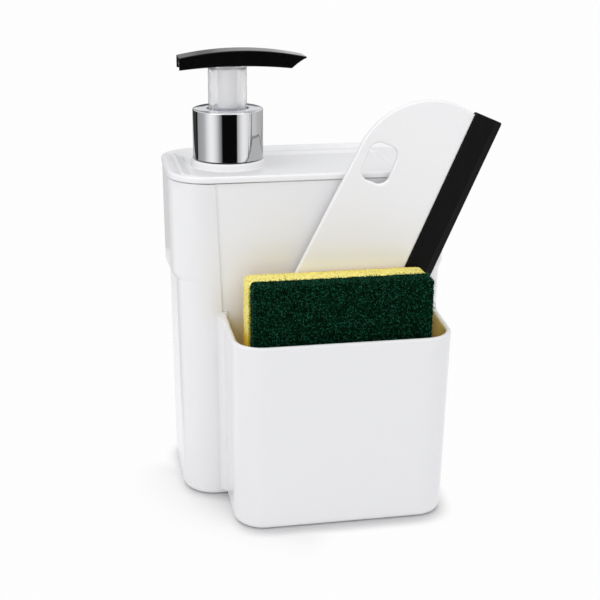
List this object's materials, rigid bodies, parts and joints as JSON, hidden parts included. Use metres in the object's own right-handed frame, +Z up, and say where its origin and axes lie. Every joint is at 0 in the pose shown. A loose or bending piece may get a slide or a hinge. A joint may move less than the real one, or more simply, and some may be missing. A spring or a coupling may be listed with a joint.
{
  "type": "soap pump caddy",
  "caption": "White sink caddy with a drop-in soap tank and lotion pump behind, and an open front pocket holding a scouring sponge and a small leaning squeegee.",
  "frame": {"origin": "on the table, under the middle of the tank compartment", "axes": "+Z up out of the lid, -Y towards the user and the open pocket, +X to the user's right"},
  "size_m": [0.1321, 0.0923, 0.1857],
  "materials": {
    "shell_white": "smooth satin-gloss white moulding",
    "tank_white": "smooth white moulding, a little softer than the shell",
    "gasket_soft": "soft white foam washer",
    "pump_white": "plain white pump mouldings",
    "collar_chrome": "bright plated collar",
    "clear_plastic": "clear, slightly frosted moulding",
    "tube_natural": "natural translucent tube",
    "piston_soft": "soft sealing piston",
    "spring_steel": "bright stainless wire and ball",
    "head_black": "polished black",
    "plate_white": "smooth white sheet moulding",
    "blade_rubber": "soft black rubber",
    "foam_yellow": "open-cell yellow sponge foam",
    "pad_green": "coarse dark green scouring fibre"
  },
  "bodies": {
    "caddy": {"caddy_body": "shell_white"},
    "tank": {"reservoir_tank": "tank_white"},
    "lid": {"lid": "shell_white"},
    "pump": {"neck_gasket": "gasket_soft", "chaplet": "clear_plastic", "pump_housing": "pump_white", "inlet_ball": "spring_steel", "dip_tube": "tube_natural", "return_spring": "spring_steel"},
    "collar": {"threaded_closure": "pump_white", "collar_shell": "collar_chrome"},
    "plunger": {"stem": "pump_white", "piston": "piston_soft", "piston_plug": "pump_white"},
    "head": {"nozzle_core": "clear_plastic", "head_cover": "head_black"},
    "sponge": {"sponge_foam": "foam_yellow", "scouring_pad": "pad_green"},
    "squeegee": {"squeegee_plate": "plate_white", "squeegee_blade": "blade_rubber"}
  },
  "joints": [
    {"name": "tank_lift", "type": "slide", "parent": "caddy", "child": "tank", "axis": [0, 0, 1], "range_m": [0, 0.14]},
    {"name": "lid_lift", "type": "slide", "parent": "tank", "child": "lid", "axis": [0, 0, 1], "range_m": [0, 0.135]},
    {"name": "pump_lift", "type": "slide", "parent": "lid", "child": "pump", "axis": [0, 0, 1], "range_m": [0, 0.155]},
    {"name": "collar_turn", "type": "hinge", "parent": "pump", "child": "collar", "pos_m": [-0.0318, 0, 0.15], "axis": [0, 0, 1], "range_deg": [0, 540]},
    {"name": "pump_press", "type": "slide", "parent": "pump", "child": "plunger", "axis": [0, 0, -1], "range_m": [0, 0.014], "stiffness_N_per_m": 600, "springref_m": -0.006, "deforming": ["return_spring"]},
    {"name": "head_turn", "type": "hinge", "parent": "plunger", "child": "head", "pos_m": [-0.0318, 0, 0.178], "axis": [0, 0, 1], "continuous": true},
    {"name": "sponge_lift", "type": "slide", "parent": "caddy", "child": "sponge", "axis": [0, 0, 1], "range_m": [0, 0.085]},
    {"name": "squeegee_lift", "type": "slide", "parent": "caddy", "child": "squeegee", "axis": [0.3907, 0, 0.9205], "range_m": [0, 0.09]}
  ]
}
